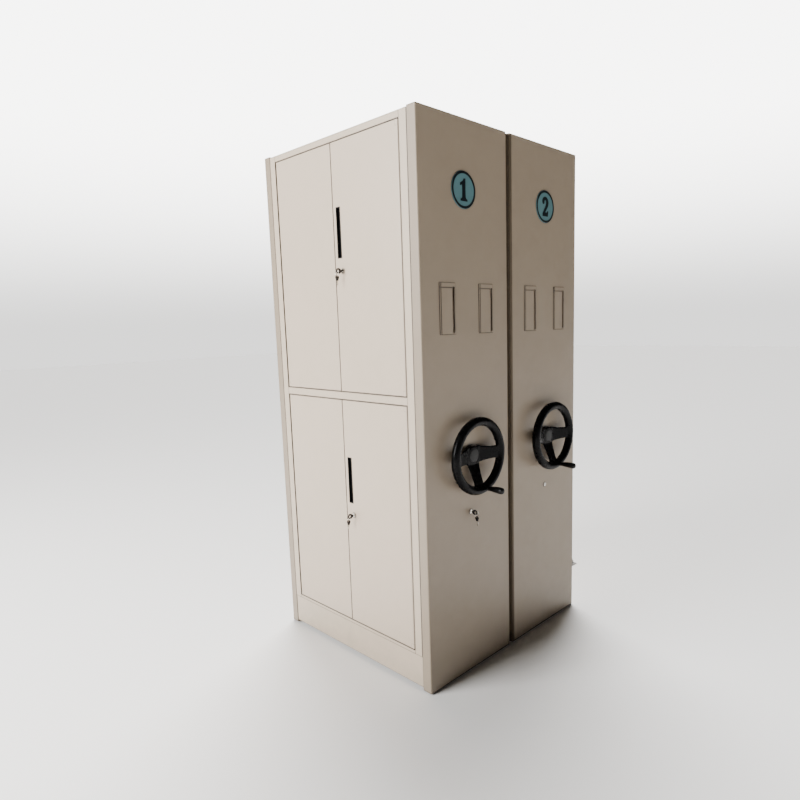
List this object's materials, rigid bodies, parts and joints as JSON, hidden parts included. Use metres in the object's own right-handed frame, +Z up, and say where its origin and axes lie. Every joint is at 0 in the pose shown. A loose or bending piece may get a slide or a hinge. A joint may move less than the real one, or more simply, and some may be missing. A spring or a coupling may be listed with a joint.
{
  "type": "compact mobile shelving",
  "caption": "Closed pair of mobile shelving carriages on a floor track, driven by hand wheels, with hinged doors on one face.",
  "frame": {"origin": "on the floor, midway between the closed carriages and midway along their length", "axes": "+Z up, +X the way the second carriage opens, -Y the hand-wheel side"},
  "size_m": [1.6501, 1.151, 2.306],
  "materials": {
    "panel_paint": "satin powder coat, light warm grey",
    "cabinet_paint": "satin powder coat, light warm grey",
    "door_paint": "satin powder coat, light warm grey",
    "bare_steel": "machined steel",
    "frame_steel": "dark primer on welded steel",
    "bearing_iron": "cast and oiled",
    "wheel_iron": "turned tread",
    "chain_steel": "oiled",
    "wheel_plastic": "glossy black",
    "grip_plastic": "glossy black",
    "pull_plastic": "fine satin black",
    "key_plastic": "black",
    "lock_chrome": "bright nickel",
    "clip_zinc": "zinc plated",
    "seal_rubber": "dark brown rubber",
    "disc_teal": "teal blue, satin"
  },
  "bodies": {
    "track": {"front_rail": "bare_steel", "rear_rail": "bare_steel", "track_ties": "bare_steel", "rail_stops": "bare_steel"},
    "carriage_1": {"base_frame_1": "frame_steel", "bearings_1": "bearing_iron", "chain_1": "chain_steel", "front_panel_1": "panel_paint", "rear_panel_1": "panel_paint", "side_frames_1": "cabinet_paint", "shelves_1": "cabinet_paint", "shelf_clips_1": "clip_zinc", "plinths_1": "cabinet_paint", "top_panel_1": "cabinet_paint", "number_disc_1": "disc_teal", "edge_seals_1": "seal_rubber", "door_frame": "cabinet_paint"},
    "drive_axle_1": {"drive_axle_1": "bare_steel", "drive_wheels_1": "wheel_iron", "axle_sprocket_1": "bare_steel"},
    "idle_axle_1": {"idle_axle_1": "bare_steel", "idle_wheels_1": "wheel_iron"},
    "hand_wheel_1": {"hand_shaft_1": "bare_steel", "hand_wheel_1": "wheel_plastic"},
    "crank_grip_1": {"crank_grip_1": "grip_plastic"},
    "panel_lock_1": {"panel_lock_1": "lock_chrome", "panel_key_1": "key_plastic"},
    "carriage_2": {"base_frame_2": "frame_steel", "bearings_2": "bearing_iron", "chain_2": "chain_steel", "front_panel_2": "panel_paint", "rear_panel_2": "panel_paint", "side_frames_2": "cabinet_paint", "shelves_2": "cabinet_paint", "shelf_clips_2": "clip_zinc", "plinths_2": "cabinet_paint", "top_panel_2": "cabinet_paint", "number_disc_2": "disc_teal", "edge_seals_2": "seal_rubber", "back_panel": "cabinet_paint"},
    "drive_axle_2": {"drive_axle_2": "bare_steel", "drive_wheels_2": "wheel_iron", "axle_sprocket_2": "bare_steel"},
    "idle_axle_2": {"idle_axle_2": "bare_steel", "idle_wheels_2": "wheel_iron"},
    "hand_wheel_2": {"hand_shaft_2": "bare_steel", "hand_wheel_2": "wheel_plastic"},
    "crank_grip_2": {"crank_grip_2": "grip_plastic"},
    "panel_lock_2": {"panel_lock_2": "lock_chrome"},
    "upper_near_door": {"upper_near_door": "door_paint", "upper_pull": "pull_plastic"},
    "upper_far_door": {"upper_far_door": "door_paint"},
    "upper_door_lock": {"upper_door_lock": "lock_chrome", "upper_door_key": "key_plastic"},
    "lower_near_door": {"lower_near_door": "door_paint", "lower_pull": "pull_plastic"},
    "lower_far_door": {"lower_far_door": "door_paint"},
    "lower_door_lock": {"lower_door_lock": "lock_chrome", "lower_door_key": "key_plastic"}
  },
  "joints": [
    {"name": "carriage_1_slide", "type": "slide", "parent": "track", "child": "carriage_1", "axis": [1, 0, 0], "range_m": [-0.06, 0]},
    {"name": "drive_axle_1_turn", "type": "hinge", "parent": "carriage_1", "child": "drive_axle_1", "pos_m": [-0.443, 0, 0.0663], "axis": [0, 1, 0], "range_deg": [-68.8, 0]},
    {"name": "idle_axle_1_turn", "type": "hinge", "parent": "carriage_1", "child": "idle_axle_1", "pos_m": [-0.122, 0, 0.0663], "axis": [0, 1, 0], "range_deg": [-68.8, 0]},
    {"name": "hand_wheel_1_turn", "type": "hinge", "parent": "carriage_1", "child": "hand_wheel_1", "pos_m": [-0.2825, -0.5, 0.971], "axis": [0, 1, 0], "range_deg": [-137.6, 0]},
    {"name": "crank_grip_1_spin", "type": "hinge", "parent": "hand_wheel_1", "child": "crank_grip_1", "pos_m": [-0.24988, -0.6, 0.82972], "axis": [0, -1, 0], "continuous": true},
    {"name": "panel_lock_1_turn", "type": "hinge", "parent": "carriage_1", "child": "panel_lock_1", "pos_m": [-0.2825, -0.5, 0.723], "axis": [0, 1, 0], "range_deg": [0, 90]},
    {"name": "carriage_2_slide", "type": "slide", "parent": "track", "child": "carriage_2", "axis": [1, 0, 0], "range_m": [0, 0.56]},
    {"name": "drive_axle_2_turn", "type": "hinge", "parent": "carriage_2", "child": "drive_axle_2", "pos_m": [0.443, 0, 0.0663], "axis": [0, 1, 0], "range_deg": [0, 641.8]},
    {"name": "idle_axle_2_turn", "type": "hinge", "parent": "carriage_2", "child": "idle_axle_2", "pos_m": [0.122, 0, 0.0663], "axis": [0, 1, 0], "range_deg": [0, 641.8]},
    {"name": "hand_wheel_2_turn", "type": "hinge", "parent": "carriage_2", "child": "hand_wheel_2", "pos_m": [0.2825, -0.5, 0.971], "axis": [0, 1, 0], "range_deg": [0, 1283.5]},
    {"name": "crank_grip_2_spin", "type": "hinge", "parent": "hand_wheel_2", "child": "crank_grip_2", "pos_m": [0.31512, -0.6, 0.82972], "axis": [0, -1, 0], "continuous": true},
    {"name": "panel_lock_2_turn", "type": "hinge", "parent": "carriage_2", "child": "panel_lock_2", "pos_m": [0.2825, -0.5, 0.723], "axis": [0, 1, 0], "range_deg": [0, 90]},
    {"name": "upper_near_door_hinge", "type": "hinge", "parent": "carriage_1", "child": "upper_near_door", "pos_m": [-0.544, -0.401, 1.755], "axis": [0, 0, 1], "range_deg": [0, 95]},
    {"name": "upper_far_door_hinge", "type": "hinge", "parent": "carriage_1", "child": "upper_far_door", "pos_m": [-0.544, 0.401, 1.755], "axis": [0, 0, -1], "range_deg": [0, 95]},
    {"name": "upper_door_lock_turn", "type": "hinge", "parent": "upper_near_door", "child": "upper_door_lock", "pos_m": [-0.553, -0.0485, 1.749], "axis": [1, 0, 0], "range_deg": [0, 90]},
    {"name": "lower_near_door_hinge", "type": "hinge", "parent": "carriage_1", "child": "lower_near_door", "pos_m": [-0.544, -0.401, 0.686], "axis": [0, 0, 1], "range_deg": [0, 95]},
    {"name": "lower_far_door_hinge", "type": "hinge", "parent": "carriage_1", "child": "lower_far_door", "pos_m": [-0.544, 0.401, 0.686], "axis": [0, 0, -1], "range_deg": [0, 95]},
    {"name": "lower_door_lock_turn", "type": "hinge", "parent": "lower_near_door", "child": "lower_door_lock", "pos_m": [-0.553, -0.0485, 0.682], "axis": [1, 0, 0], "range_deg": [0, 90]}
  ],
  "couplings": [
    {"joint": "drive_axle_1_turn", "follows": "carriage_1_slide", "rad_per_m": 20},
    {"joint": "idle_axle_1_turn", "follows": "carriage_1_slide", "rad_per_m": 20},
    {"joint": "hand_wheel_1_turn", "follows": "carriage_1_slide", "rad_per_m": 40},
    {"joint": "drive_axle_2_turn", "follows": "carriage_2_slide", "rad_per_m": 20},
    {"joint": "idle_axle_2_turn", "follows": "carriage_2_slide", "rad_per_m": 20},
    {"joint": "hand_wheel_2_turn", "follows": "carriage_2_slide", "rad_per_m": 40}
  ]
}
